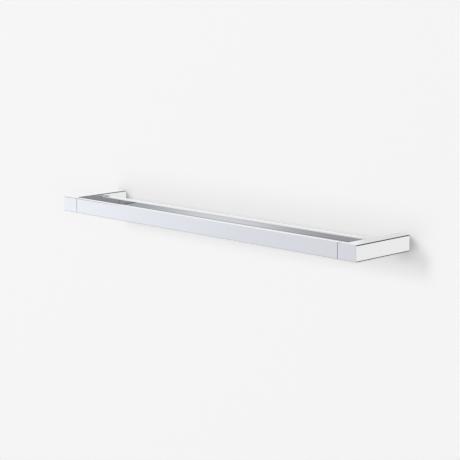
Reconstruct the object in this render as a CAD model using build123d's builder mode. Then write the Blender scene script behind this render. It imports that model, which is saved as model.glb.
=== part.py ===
from build123d import *
import os

# A double towel bar for a wall: two cast arms carry a front rail and a rear rail of flat tube.
# X runs along the rails, Y = 0 is the wall, -Y points into the room and Z is up.
# The origin lies on the wall, in the middle of the four wall screws.
# All lengths are in millimetres.

# Overall sizes
overall_length = 650.0
overall_depth = 116.0
section_height = 24.0
edge_radius = 1.5
overrun = 1.0

# Arms: one casting each, with a return along the front that the front rail butts against
arm_width = 25.0
return_length = 34.0
wall_end_chamfer = 0.4
joint_chamfer = 0.15

# Socket in each arm's wall end, which slides over the wall bracket
socket_side_wall = 2.5
socket_top_wall = 2.5
socket_depth = 36.0
socket_corner_radius = 1.5
socket_draft = 0.5
boss_radius = 4.5
boss_height = 2.0

# Rails: flat rectangular tube, the rear one lower than the front one
rail_thickness = 12.0
rear_rail_height = 18.0
rail_gap = 48.0
tube_wall = 1.2
tube_inner_radius = 0.5
front_joint_gap = 0.6
rear_joint_gap = 0.1

# Tongues on the arms, which carry the rails' ends
tongue_length = 24.0
tongue_clearance = 0.15
tongue_corner_chamfer = 1.2
tongue_tip_chamfer = 1.0
tongue_pocket_depth = 10.0
tongue_pocket_wall = 2.4
tongue_root_relief = 0.5

# Wall bracket: a base plate on the wall and a web that the grub screw presses on
bracket_clearance = 0.25
plate_thickness = 3.0
web_thickness = 2.5
web_reach = 18.0
web_side_clearance = 0.75
web_corner_radius = 3.0
dimple_radius = 1.6

# Wall screws, countersunk, with a cross recess
wall_screw_spacing = 10.0
wall_screw_radius = 1.75
wall_screw_core_radius = 1.25
wall_screw_head_radius = 3.4
wall_screw_length_in_wall = 30.0
wall_screw_tip_length = 4.0
wall_screw_hole_clearance = 0.25
wall_screw_head_clearance = 0.05
wall_screw_head_angle = 90.0
recess_arm = 3.6
recess_width = 0.8
recess_depth = 1.4
recess_draft = 12.0

# Grub screws, with a hexagon socket and a cone point
bracket_grub_radius = 2.5
bracket_grub_place = 9.5
bracket_grub_sinking = 0.5
bracket_grub_hexagon = 2.5
bracket_grub_hexagon_depth = 2.5
bracket_grub_tip_chamfer = 1.7
rail_grub_radius = 2.0
rail_grub_place = 8.0
rail_grub_sinking = 0.4
rail_grub_length = 8.0
rear_rail_grub_length = 6.0
rail_grub_hexagon = 2.0
rail_grub_hexagon_depth = 2.0
rail_grub_tip_chamfer = 1.0
grub_clearance = 0.05
grub_end_chamfer = 0.3

# Places worked out from the sizes above
half_length = overall_length / 2
half_height = section_height / 2
rear_half_height = rear_rail_height / 2
arm_middle_x = half_length - arm_width / 2
arm_inner_x = half_length - arm_width
joint_x = half_length - return_length
front_rail_back_y = -(overall_depth - rail_thickness)
front_rail_middle_y = -(overall_depth - rail_thickness / 2)
rear_rail_front_y = front_rail_back_y + rail_gap
rear_rail_middle_y = rear_rail_front_y + rail_thickness / 2
socket_width = arm_width - 2 * socket_side_wall
socket_height = section_height - 2 * socket_top_wall
socket_floor_z = -socket_height / 2
tube_bore_thickness = rail_thickness - 2 * tube_wall
front_bore_height = section_height - 2 * tube_wall
rear_bore_height = rear_rail_height - 2 * tube_wall
tongue_thickness = tube_bore_thickness - 2 * tongue_clearance
front_tongue_height = front_bore_height - 2 * tongue_clearance
rear_tongue_height = rear_bore_height - 2 * tongue_clearance
plate_width = socket_width - 2 * bracket_clearance
plate_height = socket_height - 2 * bracket_clearance
web_width = plate_width - 2 * web_side_clearance
web_half = web_thickness / 2

os.makedirs("parts", exist_ok=True)


# Left arm
# The plan is an L: the arm comes from the wall and returns along the front as far as the rail.
with BuildPart() as left_arm:
    with BuildSketch(Plane.XY.offset(-half_height)):
        with BuildLine():
            Polyline(
                (-half_length, 0),
                (-half_length, -overall_depth),
                (-joint_x, -overall_depth),
                (-joint_x, front_rail_back_y),
                (-arm_inner_x, front_rail_back_y),
                (-arm_inner_x, 0),
                close=True,
            )
        make_face()
    extrude(amount=section_height)

    upright_edges = left_arm.edges().filter_by(Axis.Z)
    outer_corner = upright_edges.sort_by(Axis.X).group_by(Axis.Y)[0].sort_by(Axis.X)[0]
    fillet(outer_corner, radius=edge_radius)
    long_edges = left_arm.faces().filter_by(Axis.Z).edges().filter_by(
        lambda edge: edge.center().Y < -wall_end_chamfer
        and edge.center().X < -joint_x - joint_chamfer
    )
    fillet(long_edges, radius=edge_radius)
    chamfer(left_arm.faces().sort_by(Axis.Y)[-1].edges(), length=wall_end_chamfer)
    chamfer(left_arm.faces().sort_by(Axis.X)[-1].edges(), length=joint_chamfer)

    # Socket with a casting draft, and the thick spot on its floor for the grub screw's thread
    with BuildSketch(Plane.XZ):
        with Locations((-arm_middle_x, 0)):
            Rectangle(socket_width, socket_height)
    extrude(amount=socket_depth, taper=socket_draft, mode=Mode.SUBTRACT)
    socket_corners = left_arm.edges().filter_by(
        lambda edge: edge.length > socket_depth / 2
        and abs(edge.center().Y + socket_depth / 2) < socket_top_wall
    )
    fillet(socket_corners, radius=socket_corner_radius)
    with BuildSketch(Plane.XY.offset(socket_floor_z - socket_top_wall / 2)):
        with Locations((-arm_middle_x, -bracket_grub_place)):
            Circle(boss_radius)
    extrude(amount=boss_height + socket_top_wall / 2)

    # Tongues for the two rails, each with a cored pocket in its tip
    for tongue_x, tongue_y, tongue_height, rail_half_height, grub_length in (
        (-joint_x, front_rail_middle_y, front_tongue_height, half_height, rail_grub_length),
        (-arm_inner_x, rear_rail_middle_y, rear_tongue_height, rear_half_height, rear_rail_grub_length),
    ):
        with BuildSketch(Plane.YZ.offset(tongue_x)) as tongue_outline:
            with Locations((tongue_y, 0)):
                Rectangle(tongue_thickness, tongue_height)
            chamfer(tongue_outline.vertices(), length=tongue_corner_chamfer)
        extrude(amount=tongue_length)
        tip = left_arm.faces().filter_by(Axis.X).filter_by(
            lambda face: abs(face.center().X - tongue_x - tongue_length) < tongue_root_relief
        )
        chamfer(tip.edges(), length=tongue_tip_chamfer)
        with BuildSketch(Plane.YZ.offset(tongue_x + tongue_length)):
            with Locations((tongue_y, 0)):
                RectangleRounded(
                    tongue_thickness - 2 * tongue_pocket_wall,
                    tongue_height - 2 * tongue_pocket_wall,
                    tube_inner_radius,
                )
        extrude(amount=-tongue_pocket_depth, mode=Mode.SUBTRACT)
        with BuildSketch(Plane.XY.offset(-tongue_height / 2 - overrun)):
            with Locations((tongue_x + rail_grub_place, tongue_y)):
                Circle(rail_grub_radius + grub_clearance)
        extrude(
            amount=overrun + tongue_height / 2 - rail_half_height + rail_grub_sinking
            + grub_length + grub_clearance,
            mode=Mode.SUBTRACT,
        )

    # Threaded hole for the grub screw that holds the arm on its bracket
    with BuildSketch(Plane.XY.offset(-half_height - overrun)):
        with Locations((-arm_middle_x, -bracket_grub_place)):
            Circle(bracket_grub_radius + grub_clearance)
    extrude(amount=overrun + socket_top_wall + boss_height + overrun, mode=Mode.SUBTRACT)

left_arm.part.label = "left_arm"
export_step(left_arm.part, "parts/left_arm.step")


# Right arm, the mirror image
with BuildPart() as right_arm:
    mirror(left_arm.part, about=Plane.YZ)

right_arm.part.label = "right_arm"
export_step(right_arm.part, "parts/right_arm.step")


# Front rail, between the arms' returns
front_rail_half = joint_x - front_joint_gap
with BuildPart() as front_rail:
    with BuildSketch(Plane.YZ.offset(-front_rail_half)):
        with Locations((front_rail_middle_y, 0)):
            RectangleRounded(rail_thickness, section_height, edge_radius)
            RectangleRounded(
                tube_bore_thickness, front_bore_height, tube_inner_radius, mode=Mode.SUBTRACT
            )
    extrude(amount=2 * front_rail_half)
    end_rims = front_rail.faces().filter_by(Axis.X).wires().sort_by(SortBy.LENGTH)[-2:]
    chamfer(end_rims.edges(), length=joint_chamfer)
    with BuildSketch(Plane.XY.offset(-half_height - overrun)):
        with Locations(
            (-joint_x + rail_grub_place, front_rail_middle_y),
            (joint_x - rail_grub_place, front_rail_middle_y),
        ):
            Circle(rail_grub_radius + grub_clearance)
    extrude(amount=overrun + tube_wall + tongue_clearance, mode=Mode.SUBTRACT)

front_rail.part.label = "front_rail"
export_step(front_rail.part, "parts/front_rail.step")


# Rear rail, between the arms' inner sides
rear_rail_half = arm_inner_x - rear_joint_gap
with BuildPart() as rear_rail:
    with BuildSketch(Plane.YZ.offset(-rear_rail_half)):
        with Locations((rear_rail_middle_y, 0)):
            RectangleRounded(rail_thickness, rear_rail_height, edge_radius)
            RectangleRounded(
                tube_bore_thickness, rear_bore_height, tube_inner_radius, mode=Mode.SUBTRACT
            )
    extrude(amount=2 * rear_rail_half)
    with BuildSketch(Plane.XY.offset(-rear_half_height - overrun)):
        with Locations(
            (-arm_inner_x + rail_grub_place, rear_rail_middle_y),
            (arm_inner_x - rail_grub_place, rear_rail_middle_y),
        ):
            Circle(rail_grub_radius + grub_clearance)
    extrude(amount=overrun + tube_wall + tongue_clearance, mode=Mode.SUBTRACT)

rear_rail.part.label = "rear_rail"
export_step(rear_rail.part, "parts/rear_rail.step")


# Left wall bracket: the plate carries the wall screws, the web stands out into the socket
plate_front = Plane.XZ.offset(plate_thickness)
with BuildPart() as left_wall_bracket:
    with BuildSketch(Plane.XZ):
        with Locations((-arm_middle_x, 0)):
            RectangleRounded(plate_width, plate_height, socket_corner_radius)
    extrude(amount=plate_thickness)
    with BuildSketch(Plane.XY.offset(-web_half)):
        with Locations((-arm_middle_x, 0)):
            Rectangle(web_width, web_reach, align=(Align.CENTER, Align.MAX))
    extrude(amount=web_thickness)
    web_corners = left_wall_bracket.edges().filter_by(Axis.Z).group_by(Axis.Y)[0]
    fillet(web_corners, radius=web_corner_radius)
    with Locations(plate_front.location):
        with Locations(
            (-arm_middle_x, wall_screw_spacing / 2), (-arm_middle_x, -wall_screw_spacing / 2)
        ):
            CounterSinkHole(
                radius=wall_screw_radius + wall_screw_hole_clearance,
                counter_sink_radius=wall_screw_head_radius + wall_screw_head_clearance,
                depth=plate_thickness,
                counter_sink_angle=wall_screw_head_angle,
            )
    with Locations((-arm_middle_x, -bracket_grub_place, -web_half)):
        Cone(
            dimple_radius, 0, dimple_radius,
            align=(Align.CENTER, Align.CENTER, Align.MIN), mode=Mode.SUBTRACT,
        )

left_wall_bracket.part.label = "left_wall_bracket"
export_step(left_wall_bracket.part, "parts/left_wall_bracket.step")


# Right wall bracket, the mirror image
with BuildPart() as right_wall_bracket:
    mirror(left_wall_bracket.part, about=Plane.YZ)

right_wall_bracket.part.label = "right_wall_bracket"
export_step(right_wall_bracket.part, "parts/right_wall_bracket.step")


# Wall screws: a countersunk head, a plain core through the plate and a thread in the wall
head_seat_depth = wall_screw_head_radius - wall_screw_core_radius
with BuildPart() as wall_screw:
    with BuildSketch(Plane.XZ):
        with BuildLine():
            Polyline(
                (0, plate_thickness),
                (wall_screw_head_radius, plate_thickness),
                (wall_screw_core_radius, plate_thickness - head_seat_depth),
                (wall_screw_core_radius, 0),
                (wall_screw_radius, 0),
                (wall_screw_radius, -wall_screw_length_in_wall),
                (0, -wall_screw_length_in_wall - wall_screw_tip_length),
                close=True,
            )
        make_face()
    revolve(axis=Axis.Z)
    with BuildSketch(Plane.XY.offset(plate_thickness)):
        Rectangle(recess_arm, recess_width)
        Rectangle(recess_width, recess_arm)
    extrude(amount=-recess_depth, taper=recess_draft, mode=Mode.SUBTRACT)

wall_frame = Plane.XZ
with BuildPart() as wall_screws:
    with Locations(wall_frame.location):
        with GridLocations(2 * arm_middle_x, wall_screw_spacing, 2, 2):
            add(wall_screw.part)

wall_screws.part.label = "wall_screws"
export_step(wall_screws.part, "parts/wall_screws.step")


# Grub screws that hold the arms on their brackets, driven from below into the web's dimple
bracket_grub_foot_z = -half_height + bracket_grub_sinking
bracket_grub_tip_radius = bracket_grub_radius - bracket_grub_tip_chamfer
bracket_grub_entry = dimple_radius - bracket_grub_tip_radius - grub_clearance
bracket_grub_length = -web_half + bracket_grub_entry - bracket_grub_foot_z
with BuildPart() as bracket_grub_screw:
    with BuildSketch():
        Circle(bracket_grub_radius)
    extrude(amount=bracket_grub_length)
    chamfer(bracket_grub_screw.faces().sort_by(Axis.Z)[-1].edges(), length=bracket_grub_tip_chamfer)
    chamfer(bracket_grub_screw.faces().sort_by(Axis.Z)[0].edges(), length=grub_end_chamfer)
    with BuildSketch():
        RegularPolygon(bracket_grub_hexagon / 2, 6, major_radius=False)
    extrude(amount=bracket_grub_hexagon_depth, mode=Mode.SUBTRACT)

with BuildPart() as bracket_grub_screws:
    with Locations(
        (-arm_middle_x, -bracket_grub_place, bracket_grub_foot_z),
        (arm_middle_x, -bracket_grub_place, bracket_grub_foot_z),
    ):
        add(bracket_grub_screw.part)

bracket_grub_screws.part.label = "bracket_grub_screws"
export_step(bracket_grub_screws.part, "parts/bracket_grub_screws.step")


# Grub screws that lock the front rail on its tongues, driven from below
with BuildPart() as front_rail_grub_screw:
    with BuildSketch():
        Circle(rail_grub_radius)
    extrude(amount=rail_grub_length)
    chamfer(front_rail_grub_screw.faces().sort_by(Axis.Z)[-1].edges(), length=rail_grub_tip_chamfer)
    chamfer(front_rail_grub_screw.faces().sort_by(Axis.Z)[0].edges(), length=grub_end_chamfer)
    with BuildSketch():
        RegularPolygon(rail_grub_hexagon / 2, 6, major_radius=False)
    extrude(amount=rail_grub_hexagon_depth, mode=Mode.SUBTRACT)

front_grub_foot_z = -half_height + rail_grub_sinking
with BuildPart() as front_rail_grub_screws:
    with Locations(
        (-joint_x + rail_grub_place, front_rail_middle_y, front_grub_foot_z),
        (joint_x - rail_grub_place, front_rail_middle_y, front_grub_foot_z),
    ):
        add(front_rail_grub_screw.part)

front_rail_grub_screws.part.label = "front_rail_grub_screws"
export_step(front_rail_grub_screws.part, "parts/front_rail_grub_screws.step")


# Shorter grub screws that lock the rear rail on its tongues
with BuildPart() as rear_rail_grub_screw:
    with BuildSketch():
        Circle(rail_grub_radius)
    extrude(amount=rear_rail_grub_length)
    chamfer(rear_rail_grub_screw.faces().sort_by(Axis.Z)[-1].edges(), length=rail_grub_tip_chamfer)
    chamfer(rear_rail_grub_screw.faces().sort_by(Axis.Z)[0].edges(), length=grub_end_chamfer)
    with BuildSketch():
        RegularPolygon(rail_grub_hexagon / 2, 6, major_radius=False)
    extrude(amount=rail_grub_hexagon_depth, mode=Mode.SUBTRACT)

rear_grub_foot_z = -rear_half_height + rail_grub_sinking
with BuildPart() as rear_rail_grub_screws:
    with Locations(
        (-arm_inner_x + rail_grub_place, rear_rail_middle_y, rear_grub_foot_z),
        (arm_inner_x - rail_grub_place, rear_rail_middle_y, rear_grub_foot_z),
    ):
        add(rear_rail_grub_screw.part)

rear_rail_grub_screws.part.label = "rear_rail_grub_screws"
export_step(rear_rail_grub_screws.part, "parts/rear_rail_grub_screws.step")
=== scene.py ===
import math

import bmesh
import bpy
from bpy.props import FloatProperty, FloatVectorProperty, IntProperty, PointerProperty
from bpy.types import Operator, Panel, PropertyGroup
from mathutils import Matrix, Vector


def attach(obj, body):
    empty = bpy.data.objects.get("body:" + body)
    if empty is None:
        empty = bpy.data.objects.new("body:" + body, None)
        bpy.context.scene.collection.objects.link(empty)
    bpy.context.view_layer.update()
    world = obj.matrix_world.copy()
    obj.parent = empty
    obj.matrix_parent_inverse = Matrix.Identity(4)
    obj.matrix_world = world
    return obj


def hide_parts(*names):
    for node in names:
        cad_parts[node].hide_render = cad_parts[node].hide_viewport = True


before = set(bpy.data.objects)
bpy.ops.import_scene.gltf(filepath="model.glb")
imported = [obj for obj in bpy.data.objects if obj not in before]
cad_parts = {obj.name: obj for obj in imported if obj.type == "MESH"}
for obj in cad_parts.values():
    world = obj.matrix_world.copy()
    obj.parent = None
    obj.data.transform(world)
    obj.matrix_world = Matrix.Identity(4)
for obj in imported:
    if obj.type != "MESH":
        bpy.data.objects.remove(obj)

bl_info = {
    "name": "Double towel bar",
    "version": (1, 0, 0),
    "blender": (4, 5, 0),
    "location": "3D View > Sidebar > Towel bar",
    "description": "Finishes, screw threads and studio for a wall-mounted double towel bar",
    "category": "Object",
}

MM = 0.001

# Nodes of the frame, by what they are made of
CHROME_NODES = ("left_arm", "right_arm", "front_rail", "rear_rail")
ZINC_NODES = ("left_wall_bracket", "right_wall_bracket")
GRUB_SCREW_NODES = (
    "bracket_grub_screws",
    "front_rail_grub_screws",
    "rear_rail_grub_screws",
)
WALL_SCREWS = "wall_screws"

# The wall screws' places, as (x, z)
WALL_SCREW_PLACES = tuple((x * MM, z * MM) for x in (-312.5, 312.5) for z in (-5, 5))

# A wood screw's thread over one pitch, as (share of the pitch, share of the height)
THREAD_PROFILE = (
    (0.0, 0.0),
    (0.34, 0.0),
    (0.47, 1.0),
    (0.53, 1.0),
    (0.66, 0.0),
    (1.0, 0.0),
)

# The wall screws' heads are kept up to here, just short of the back of the bracket's plate
HEAD_END = -0.02 * MM

# Points closer than this are one point
MERGE_DISTANCE = 0.001 * MM

# Edges of the screws that turn by more than this stay sharp
SHARP_ANGLE = math.radians(35)

# The photograph's side and the focal length that fits its edges, both in pixels
PHOTO_SIDE = 460
PHOTO_LENS = 1445

# The camera's sensor in millimetres, and its nearest and furthest view in metres
SENSOR_WIDTH = 36
CAMERA_REACH = (0.1, 50)

# Turns a level surface upright, and a camera that looks down to look ahead
UPRIGHT = Matrix.Rotation(math.radians(90), 4, "X")

# How far the lamps stand from the bar, in metres
LAMP_DISTANCE = 9.0

# Lamps by setting, as (degrees right, degrees up), (width, height)
LAMPS = {
    "key_lamp": ((-16, 13), (1.5, 2.7)),
    "low_lamp": ((-14, -10), (3.3, 3.3)),
    "side_lamp": ((52, 5), (3.3, 3.3)),
}

# The wall stands just behind the arms' ends, so that the two never share a surface
WALL_PLACE = 0.1 * MM

# The wall's glow is darkened, as painted shade, where an arm hides it from this side: up on the
# left, in front
PAINTED_SHADE_SIDE = (-0.75, -0.45, 0.48)
SHADE_SAMPLES = 16

# The studio that the polished metal reflects. Colours over the sideways direction in front:
FRONT_STOPS = (
    (-1.0, "E3E4E9"),
    (-0.785, "E3E4E9"),
    (-0.74, "D7D9DD"),
    (-0.697, "CFD0D4"),
    (-0.676, "CCCFD3"),
    (-0.657, "CECCD2"),
    (-0.6, "CBCCD2"),
    (0.2, "C4C6CA"),
    (0.6, "F0F0F0"),
)
# A soft window towards the wall, low on the left:
LOW_BACK_STOPS = (
    (-0.75, "CACCCB"),
    (-0.725, "FAFAF9"),
    (-0.715, "FFFFFF"),
    (-0.705, "FFFFFF"),
    (-0.695, "FAF9F8"),
    (-0.675, "D6D5D5"),
    (-0.655, "BCBCBA"),
)
# Even areas towards the wall, each a colour and its limits as (axis, outside, inside):
BACK_AREAS = (
    # To the right of the window
    ("DFDEDC", ("x", -0.5, 0.2)),
    # Above it
    ("CBCBCB", ("z", -0.08, 0.08)),
    # A little dimmer high up, which the right arm's top picks up
    ("BDBDBE", ("z", 0.0, 0.08), ("x", -0.643, -0.637)),
)
# The change from the front to the back:
BACK_EDGE = ("y", -0.15, 0.25)
# Areas over both, in the same form:
AREAS = (
    # Dimmer overhead, apart from the left
    ("909193", ("z", 0.3, 0.5), ("x", -0.55, -0.2)),
    # Dimmer below
    ("B0B1B4", ("z", -0.3, -0.5)),
    # Dark grey, high on the far left towards the wall, which the front top edges pick up
    ("303234", ("z", 0.2, 0.4), ("x", -0.752, -0.776), ("y", -0.2, 0.2)),
    # A grey strip in front on the right, which joints and upright corners pick up
    (
        "626468",
        ("x", 0.48, 0.58),
        ("x", 0.86, 0.76),
        ("y", -0.45, -0.55),
        ("z", -0.28, -0.22),
        ("z", 0.05, -0.02),
    ),
    # Dark above and below towards the wall, which the arms' long edges pick up
    ("101010", ("z", 0.22, 0.3), ("y", 0.46, 0.56), ("x", -0.7, -0.62), ("x", 0.7, 0.62)),
    ("101010", ("z", -0.22, -0.3), ("y", 0.46, 0.56), ("x", -0.7, -0.62), ("x", 0.7, 0.62)),
)


def linear(hex_colour):
    """Turns an sRGB colour such as "C4C5C7" into linear values with an alpha of 1."""
    channels = [int(hex_colour[i : i + 2], 16) / 255 for i in (0, 2, 4)]
    values = [
        c / 12.92 if c <= 0.04045 else ((c + 0.055) / 1.055) ** 2.4 for c in channels
    ]
    return (*values, 1.0)


def add_node(tree, kind, settings=None, inputs=None):
    """Adds a node, sets its properties, and gives each input a value or a link."""
    node = tree.nodes.new(kind)
    for name, value in (settings or {}).items():
        setattr(node, name, value)
    for name, value in (inputs or {}).items():
        if isinstance(value, bpy.types.NodeSocket):
            tree.links.new(value, node.inputs[name])
        else:
            node.inputs[name].default_value = value
    return node


def colour_property(name, description, hex_colour):
    """A colour in the panel, with its default given as sRGB hex."""
    return FloatVectorProperty(
        name=name,
        description=description,
        subtype="COLOR",
        size=4,
        min=0,
        max=1,
        default=linear(hex_colour),
    )


def share_property(name, description, share):
    """A share from 0 to 1 in the panel."""
    return FloatProperty(
        name=name, description=description, default=share, min=0, max=1, subtype="FACTOR"
    )


def length_property(name, description, metres, lowest=0.0):
    """A length in the panel, given in metres."""
    return FloatProperty(
        name=name, description=description, default=metres, min=lowest, unit="LENGTH"
    )


def angle_property(name, description, degrees):
    """An angle in the panel, given in degrees."""
    return FloatProperty(
        name=name, description=description, default=math.radians(degrees), subtype="ANGLE"
    )


def level_property(name, description, level):
    """A light level in the panel."""
    return FloatProperty(name=name, description=description, default=level, min=0)


def power_property(name, description, watts):
    """A lamp's power in the panel, given in watts."""
    return FloatProperty(
        name=name, description=description, default=watts, min=0, unit="POWER"
    )


def new_material(name):
    """A material with its shader node."""
    material = bpy.data.materials.new(name)
    material.use_nodes = True
    return material, material.node_tree.nodes["Principled BSDF"]


# Settings


class FinishSettings(PropertyGroup):
    chrome_colour: colour_property(
        "Chrome", "Reflection colour of the polished chrome plate", "C4C5C7"
    )
    chrome_roughness: share_property(
        "Chrome roughness", "How far the mirror finish blurs its reflections", 0.03
    )
    zinc_colour: colour_property(
        "Zinc", "Reflection colour of the die-cast zinc brackets", "B9BBBD"
    )
    zinc_smoothest: share_property(
        "Zinc, smoothest", "Roughness of the casting skin between its ripples", 0.38
    )
    zinc_roughest: share_property(
        "Zinc, roughest", "Roughness of the casting skin on its ripples", 0.55
    )
    zinc_grain: length_property(
        "Zinc grain", "Width of the casting skin's ripples", 1.2 * MM, 0.1 * MM
    )
    zinc_ripple: length_property(
        "Zinc ripple", "Height of the casting skin's ripples", 0.05 * MM
    )
    steel_colour: colour_property(
        "Steel", "Reflection colour of the stainless steel screws", "BDBBB8"
    )
    steel_roughness: share_property(
        "Steel roughness", "How far the screws' satin finish blurs its reflections", 0.28
    )


class ScrewSettings(PropertyGroup):
    thread_radius: length_property(
        "Thread radius", "Radius of the wall screws over the thread", 1.75 * MM
    )
    core_radius: length_property(
        "Core radius", "Radius of the wall screws under the thread", 1.2 * MM
    )
    pitch: length_property(
        "Pitch", "Distance from one turn of the thread to the next", 1.8 * MM, 0.1 * MM
    )
    shaft_start: length_property(
        "Shaft start",
        "Where the threaded shaft begins, inside the bracket's plate",
        -0.4 * MM,
        -3 * MM,
    )
    shaft_end: length_property("Shaft end", "Depth of the point in the wall", 34 * MM)
    point_length: length_property(
        "Point length",
        "Length over which the shaft narrows to its point",
        4 * MM,
        0.1 * MM,
    )
    sides: IntProperty(
        name="Sides",
        description="Steps in one turn of the thread",
        default=24,
        min=6,
    )


class StudioSettings(PropertyGroup):
    focal_length: FloatProperty(
        name="Focal length",
        description="Lens for a 36 mm sensor",
        default=PHOTO_LENS / PHOTO_SIDE * SENSOR_WIDTH,
        min=1,
        unit="CAMERA",
    )
    camera_place: FloatVectorProperty(
        name="Camera place",
        description="Where the camera stands",
        default=(1.6003, -1.59315, 0.37735),
        subtype="TRANSLATION",
        unit="LENGTH",
    )
    camera_turn: angle_property(
        "Camera turn", "How far the camera has gone round from straight in front", 45.88
    )
    camera_drop: angle_property("Camera drop", "How far the camera looks down", 9.99)
    camera_roll: angle_property(
        "Camera roll", "Turn of the camera about its own axis", -0.37
    )
    wall_side: length_property("Wall side", "Width and height of the wall", 8.0, 1)
    wall_colour: colour_property("Wall", "Colour of the matt wall", "F6F6F6")
    wall_glow: level_property(
        "Wall glow", "Light of the wall's own, as of a lit sweep, which keeps it pale", 0.61
    )
    # Painted shade: how deep and how far the contact shadow painted into the wall's glow reaches
    painted_shade_share: share_property(
        "Contact shade", "How much of the wall's glow fades right at the arms", 0.5
    )
    painted_shade_reach: length_property(
        "Contact reach", "How far from the arms the wall's glow fades", 20 * MM
    )
    reflection_strength: level_property(
        "Reflection strength", "Level of the studio that the polished metal reflects", 2.0
    )
    sky_strength: level_property(
        "Sky strength", "Level of the even light that falls on matt surfaces", 0.02
    )
    key_lamp: power_property(
        "Key lamp", "Power of the tall softbox in front, a little to the left", 206
    )
    low_lamp: power_property(
        "Low lamp", "Power of the soft lamp in front, below the bar's height", 74
    )
    side_lamp: power_property("Side lamp", "Power of the soft lamp on the right", 53)


# Materials


def polished_chrome(finish):
    """Chrome plate on zinc and brass, buffed to a mirror before plating."""
    material, shader = new_material("polished_chrome")
    # A metal mirror with a faint haze, so reflected edges stay crisp but not razor sharp
    shader.inputs["Base Color"].default_value = finish.chrome_colour
    shader.inputs["Metallic"].default_value = 1.0
    shader.inputs["Roughness"].default_value = finish.chrome_roughness
    return material


def cast_zinc(finish):
    """Die-cast zinc alloy as it leaves the mould."""
    material, shader = new_material("bracket_zinc")
    # Grey and satin, with a rippled skin, drawn about a millimetre wide so that it shows
    shader.inputs["Base Color"].default_value = finish.zinc_colour
    shader.inputs["Metallic"].default_value = 1.0
    tree = material.node_tree
    place = add_node(tree, "ShaderNodeTexCoord")
    grain = add_node(
        tree,
        "ShaderNodeTexNoise",
        inputs={
            "Vector": place.outputs["Object"],
            "Scale": 1 / finish.zinc_grain,
            "Detail": 3.0,
        },
    )
    sheen = add_node(
        tree,
        "ShaderNodeMapRange",
        inputs={
            "Value": grain.outputs["Fac"],
            "To Min": finish.zinc_smoothest,
            "To Max": finish.zinc_roughest,
        },
    )
    skin = add_node(
        tree,
        "ShaderNodeBump",
        inputs={
            "Height": grain.outputs["Fac"],
            "Distance": finish.zinc_ripple,
            "Strength": 0.6,
        },
    )
    tree.links.new(sheen.outputs["Result"], shader.inputs["Roughness"])
    tree.links.new(skin.outputs["Normal"], shader.inputs["Normal"])
    return material


def stainless_steel(finish):
    """Stainless steel screws, cold headed and with rolled threads."""
    material, shader = new_material("screw_steel")
    # A satin metal without scale, slightly warm beside the chrome
    shader.inputs["Base Color"].default_value = finish.steel_colour
    shader.inputs["Metallic"].default_value = 1.0
    shader.inputs["Roughness"].default_value = finish.steel_roughness
    return material


# Pieces


def finish_node(name, material):
    """Gives a frame node its material."""
    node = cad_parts[name]
    node.data.materials.clear()
    node.data.materials.append(material)


class TOWELBAR_OT_chrome(Operator):
    """Finish the arms and rails in polished chrome"""

    bl_idname = "towelbar.chrome"
    bl_label = "Arms and rails"

    def execute(self, context):
        material = polished_chrome(context.scene.towelbar_finish)
        for name in CHROME_NODES:
            finish_node(name, material)
        return {"FINISHED"}


class TOWELBAR_OT_brackets(Operator):
    """Finish the wall brackets in cast zinc"""

    bl_idname = "towelbar.brackets"
    bl_label = "Wall brackets"

    def execute(self, context):
        material = cast_zinc(context.scene.towelbar_finish)
        for name in ZINC_NODES:
            finish_node(name, material)
        return {"FINISHED"}


def cut_away(shape, depth, side):
    """Cuts off what lies past a depth in the wall, on the side that 1 or -1 points to."""
    bmesh.ops.bisect_plane(
        shape,
        geom=shape.verts[:] + shape.edges[:] + shape.faces[:],
        dist=MERGE_DISTANCE,
        plane_co=(0, depth, 0),
        plane_no=(0, side, 0),
        clear_outer=True,
    )


def close_ends(shape):
    """Fills the openings that a cut has left."""
    bmesh.ops.holes_fill(shape, edges=[edge for edge in shape.edges if edge.is_boundary])


def threaded_shaft(screw):
    """A wood screw's shaft along y, as one closed mesh."""
    shape = bmesh.new()
    first = screw.shaft_start - screw.pitch
    height = screw.thread_radius - screw.core_radius
    points = [
        shape.verts.new((screw.core_radius + height * rise, first + screw.pitch * along, 0))
        for along, rise in THREAD_PROFILE
    ]
    lines = [shape.edges.new(pair) for pair in zip(points, points[1:])]
    # Turning the profile and moving it along winds the thread
    turns = math.ceil((screw.shaft_end - first) / screw.pitch)
    bmesh.ops.spin(
        shape,
        geom=points + lines,
        cent=(0, 0, 0),
        axis=(0, 1, 0),
        dvec=(0, screw.pitch / screw.sides, 0),
        angle=2 * math.pi * turns,
        steps=screw.sides * turns,
    )
    bmesh.ops.remove_doubles(shape, verts=shape.verts, dist=MERGE_DISTANCE)
    cut_away(shape, screw.shaft_start, -1)
    cut_away(shape, screw.shaft_end, 1)
    for vert in shape.verts:
        # The thread rises over its first half turn in the wall, and the end narrows to a point
        rise = min(max(2 * vert.co.y / screw.pitch, 0), 1)
        cone = min((screw.shaft_end - vert.co.y) / screw.point_length, 1)
        radius = math.hypot(vert.co.x, vert.co.z)
        scale = cone * (screw.core_radius + (radius - screw.core_radius) * rise) / radius
        vert.co.x *= scale
        vert.co.z *= scale
    bmesh.ops.remove_doubles(shape, verts=shape.verts, dist=MERGE_DISTANCE)
    bmesh.ops.dissolve_degenerate(shape, edges=shape.edges, dist=MERGE_DISTANCE)
    close_ends(shape)
    mesh = bpy.data.meshes.new("threaded_shaft")
    shape.to_mesh(mesh)
    shape.free()
    return mesh


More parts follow.
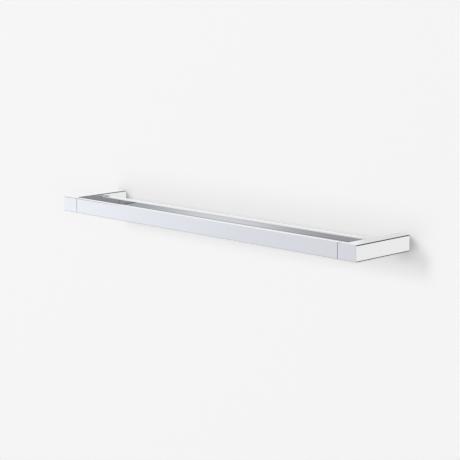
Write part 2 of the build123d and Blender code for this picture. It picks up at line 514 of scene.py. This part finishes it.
def threaded_wall_screws(screw, material):
    """The wall screws' heads from the frame, with shafts that have real threads."""
    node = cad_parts[WALL_SCREWS]
    shape = bmesh.new()
    shape.from_mesh(node.data)
    bmesh.ops.remove_doubles(shape, verts=shape.verts, dist=MERGE_DISTANCE)
    cut_away(shape, HEAD_END, 1)
    close_ends(shape)
    for x, z in WALL_SCREW_PLACES:
        shaft = threaded_shaft(screw)
        shaft.transform(Matrix.Translation((x, 0, z)))
        shape.from_mesh(shaft)
        bpy.data.meshes.remove(shaft)
    bmesh.ops.recalc_face_normals(shape, faces=shape.faces)
    for face in shape.faces:
        face.smooth = True
    for edge in shape.edges:
        edge.smooth = edge.calc_face_angle(math.pi) < SHARP_ANGLE
    mesh = bpy.data.meshes.new("threaded_wall_screws")
    shape.to_mesh(mesh)
    shape.free()
    # The heads' stored normals no longer fit the cut mesh
    if "custom_normal" in mesh.attributes:
        mesh.attributes.remove(mesh.attributes["custom_normal"])
    mesh.materials.clear()
    mesh.materials.append(material)
    screws = bpy.data.objects.new("threaded_wall_screws", mesh)
    bpy.context.collection.objects.link(screws)
    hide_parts(WALL_SCREWS)
    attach(screws, "root")


class TOWELBAR_OT_screws(Operator):
    """Finish all screws in stainless steel, and cut the wall screws' threads"""

    bl_idname = "towelbar.screws"
    bl_label = "Screws"

    def execute(self, context):
        material = stainless_steel(context.scene.towelbar_finish)
        for name in GRUB_SCREW_NODES:
            finish_node(name, material)
        threaded_wall_screws(context.scene.towelbar_screws, material)
        return {"FINISHED"}


# Stage


def colour_run(tree, value, stops):
    """A run of colours over one value, from (value, hex) stops."""
    low, high = stops[0][0], stops[-1][0]
    share = add_node(
        tree, "ShaderNodeMapRange", inputs={"Value": value, "From Min": low, "From Max": high}
    )
    run = add_node(tree, "ShaderNodeValToRGB", inputs={"Fac": share.outputs["Result"]})
    elements = run.color_ramp.elements
    while len(elements) < len(stops):
        elements.new(0.5)
    for element, (stop, hex_colour) in zip(elements, stops):
        element.position = (stop - low) / (high - low)
        element.color = linear(hex_colour)
    return run.outputs["Color"]


def tinted(tree, axes, level, colour, *limits):
    """Lays a colour over the directions inside smooth limits, each (axis, outside, inside)."""
    share = 1.0
    for axis, outside, inside in limits:
        edge = add_node(
            tree,
            "ShaderNodeMapRange",
            {"interpolation_type": "SMOOTHSTEP"},
            {"Value": axes[axis], "From Min": outside, "From Max": inside},
        )
        product = add_node(
            tree,
            "ShaderNodeMath",
            {"operation": "MULTIPLY"},
            {0: edge.outputs["Result"], 1: share},
        )
        share = product.outputs["Value"]
    mix = add_node(
        tree, "ShaderNodeMixRGB", inputs={"Fac": share, "Color1": level, "Color2": colour}
    )
    return mix.outputs["Color"]


def reflected_studio(tree):
    """The picture of a studio that the polished metal reflects, by direction."""
    place = add_node(tree, "ShaderNodeTexCoord")
    parts = add_node(
        tree, "ShaderNodeSeparateXYZ", inputs={"Vector": place.outputs["Generated"]}
    )
    axes = dict(zip("xyz", parts.outputs))
    front = colour_run(tree, axes["x"], FRONT_STOPS)
    back = colour_run(tree, axes["x"], LOW_BACK_STOPS)
    for colour, *limits in BACK_AREAS:
        back = tinted(tree, axes, back, linear(colour), *limits)
    level = tinted(tree, axes, front, back, BACK_EDGE)
    for colour, *limits in AREAS:
        level = tinted(tree, axes, level, linear(colour), *limits)
    return level


def surround(studio):
    """Light from all round: one picture for the polished metal and an even level for the rest."""
    world = bpy.data.worlds.new("studio_surround")
    bpy.context.scene.world = world
    world.use_nodes = True
    tree = world.node_tree
    tree.nodes.clear()
    reflected = add_node(
        tree,
        "ShaderNodeBackground",
        inputs={"Color": reflected_studio(tree), "Strength": studio.reflection_strength},
    )
    even = add_node(
        tree,
        "ShaderNodeBackground",
        inputs={"Color": linear("FFFFFF"), "Strength": studio.sky_strength},
    )
    ray = add_node(tree, "ShaderNodeLightPath")
    # Only mirror reflections that the camera sees show the studio: none brighten the wall
    direct = add_node(
        tree,
        "ShaderNodeMath",
        {"operation": "LESS_THAN"},
        {0: ray.outputs["Diffuse Depth"], 1: 0.5},
    )
    mirrored = add_node(
        tree,
        "ShaderNodeMath",
        {"operation": "MULTIPLY"},
        {0: ray.outputs["Is Glossy Ray"], 1: direct.outputs["Value"]},
    )
    light = add_node(
        tree,
        "ShaderNodeMixShader",
        inputs={
            0: mirrored.outputs["Value"],
            1: even.outputs["Background"],
            2: reflected.outputs["Background"],
        },
    )
    # Past the wall's edges and from behind it, the camera sees a plain pale ground
    ground = add_node(
        tree, "ShaderNodeBackground", inputs={"Color": studio.wall_colour, "Strength": 1.0}
    )
    seen = add_node(
        tree,
        "ShaderNodeMixShader",
        inputs={
            0: ray.outputs["Is Camera Ray"],
            1: light.outputs["Shader"],
            2: ground.outputs["Background"],
        },
    )
    add_node(tree, "ShaderNodeOutputWorld", inputs={"Surface": seen.outputs["Shader"]})


def wall_paint(studio):
    """Matt white wall paint, rolled on plaster."""
    material, shader = new_material("wall_paint")
    # No gloss at all, with an even glow that keeps it pale
    shader.inputs["Base Color"].default_value = studio.wall_colour
    shader.inputs["Roughness"].default_value = 1.0
    shader.inputs["Specular IOR Level"].default_value = 0.0
    shader.inputs["Emission Color"].default_value = studio.wall_colour
    # Painted shade: the glow fades where an arm hides the wall from the light, a contact shadow
    # painted into the wall's own light
    tree = material.node_tree
    toward = add_node(tree, "ShaderNodeCombineXYZ", inputs=dict(zip("XYZ", PAINTED_SHADE_SIDE)))
    open_share = add_node(
        tree,
        "ShaderNodeAmbientOcclusion",
        {"samples": SHADE_SAMPLES},
        {"Distance": studio.painted_shade_reach, "Normal": toward.outputs["Vector"]},
    )
    glow = add_node(
        tree,
        "ShaderNodeMapRange",
        inputs={
            "Value": open_share.outputs["AO"],
            "To Min": studio.wall_glow * (1 - studio.painted_shade_share),
            "To Max": studio.wall_glow,
        },
    )
    tree.links.new(glow.outputs["Result"], shader.inputs["Emission Strength"])
    # From behind, the wall lets the view through
    side = add_node(tree, "ShaderNodeNewGeometry")
    clear = add_node(tree, "ShaderNodeBsdfTransparent")
    both = add_node(
        tree,
        "ShaderNodeMixShader",
        inputs={
            "Fac": side.outputs["Backfacing"],
            1: shader.outputs["BSDF"],
            2: clear.outputs["BSDF"],
        },
    )
    tree.links.new(both.outputs["Shader"], tree.nodes["Material Output"].inputs["Surface"])
    return material


def wall(studio):
    """A wall that the arms close against, seen from the room only."""
    mesh = bpy.data.meshes.new("wall")
    shape = bmesh.new()
    bmesh.ops.create_grid(
        shape,
        x_segments=1,
        y_segments=1,
        size=studio.wall_side / 2,
        matrix=Matrix.Translation((0, WALL_PLACE, 0)) @ UPRIGHT,
    )
    shape.to_mesh(mesh)
    shape.free()
    mesh.materials.append(wall_paint(studio))
    surface = bpy.data.objects.new("wall", mesh)
    bpy.context.collection.objects.link(surface)
    surface.visible_glossy = False


def camera(studio):
    """The photograph's viewpoint."""
    data = bpy.data.cameras.new("camera")
    data.sensor_width = SENSOR_WIDTH
    data.lens = studio.focal_length
    data.clip_start, data.clip_end = CAMERA_REACH
    eye = bpy.data.objects.new("camera", data)
    turn = Matrix.Rotation(studio.camera_turn, 4, "Z")
    drop = Matrix.Rotation(-studio.camera_drop, 4, "X")
    roll = Matrix.Rotation(studio.camera_roll, 4, "Z")
    eye.matrix_world = (
        Matrix.Translation(studio.camera_place) @ turn @ UPRIGHT @ drop @ roll
    )
    bpy.context.collection.objects.link(eye)
    bpy.context.scene.camera = eye


def softbox(name, power):
    """A soft lamp that faces the bar and isn't seen in the metal."""
    (right, up), (width, height) = LAMPS[name]
    data = bpy.data.lights.new(name, "AREA")
    data.shape = "RECTANGLE"
    data.size = width
    data.size_y = height
    data.energy = power
    lamp = bpy.data.objects.new(name, data)
    turn, rise = math.radians(right), math.radians(up)
    lamp.location = LAMP_DISTANCE * Vector(
        (math.sin(turn) * math.cos(rise), -math.cos(turn) * math.cos(rise), math.sin(rise))
    )
    lamp.rotation_mode = "QUATERNION"
    lamp.rotation_quaternion = (-lamp.location).to_track_quat("-Z", "Y")
    lamp.visible_glossy = False
    bpy.context.collection.objects.link(lamp)


class TOWELBAR_OT_stage(Operator):
    """Set up the wall, the light and the camera"""

    bl_idname = "towelbar.stage"
    bl_label = "Stage"

    def execute(self, context):
        studio = context.scene.towelbar_studio
        surround(studio)
        wall(studio)
        for name in LAMPS:
            softbox(name, getattr(studio, name))
        camera(studio)
        context.scene.view_settings.view_transform = "Standard"
        return {"FINISHED"}


class TOWELBAR_PT_panel(Panel):
    """The towel bar's steps and settings"""

    bl_idname = "TOWELBAR_PT_panel"
    bl_label = "Towel bar"
    bl_space_type = "VIEW_3D"
    bl_region_type = "UI"
    bl_category = "Towel bar"

    def draw(self, context):
        for step_class in STEPS:
            self.layout.operator(step_class.bl_idname)
        scene = context.scene
        for settings in (scene.towelbar_finish, scene.towelbar_screws, scene.towelbar_studio):
            for name in settings.__annotations__:
                self.layout.prop(settings, name)


STEPS = (
    TOWELBAR_OT_chrome,
    TOWELBAR_OT_brackets,
    TOWELBAR_OT_screws,
    TOWELBAR_OT_stage,
)
CLASSES = (FinishSettings, ScrewSettings, StudioSettings, *STEPS, TOWELBAR_PT_panel)


def register():
    for each in CLASSES:
        bpy.utils.register_class(each)
    bpy.types.Scene.towelbar_finish = PointerProperty(type=FinishSettings)
    bpy.types.Scene.towelbar_screws = PointerProperty(type=ScrewSettings)
    bpy.types.Scene.towelbar_studio = PointerProperty(type=StudioSettings)


def unregister():
    del bpy.types.Scene.towelbar_studio
    del bpy.types.Scene.towelbar_screws
    del bpy.types.Scene.towelbar_finish
    for each in reversed(CLASSES):
        bpy.utils.unregister_class(each)


def main():
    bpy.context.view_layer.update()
    register()
    bpy.ops.towelbar.chrome()
    bpy.ops.towelbar.brackets()
    bpy.ops.towelbar.screws()
    bpy.ops.towelbar.stage()


if __name__ == "__main__":
    main()
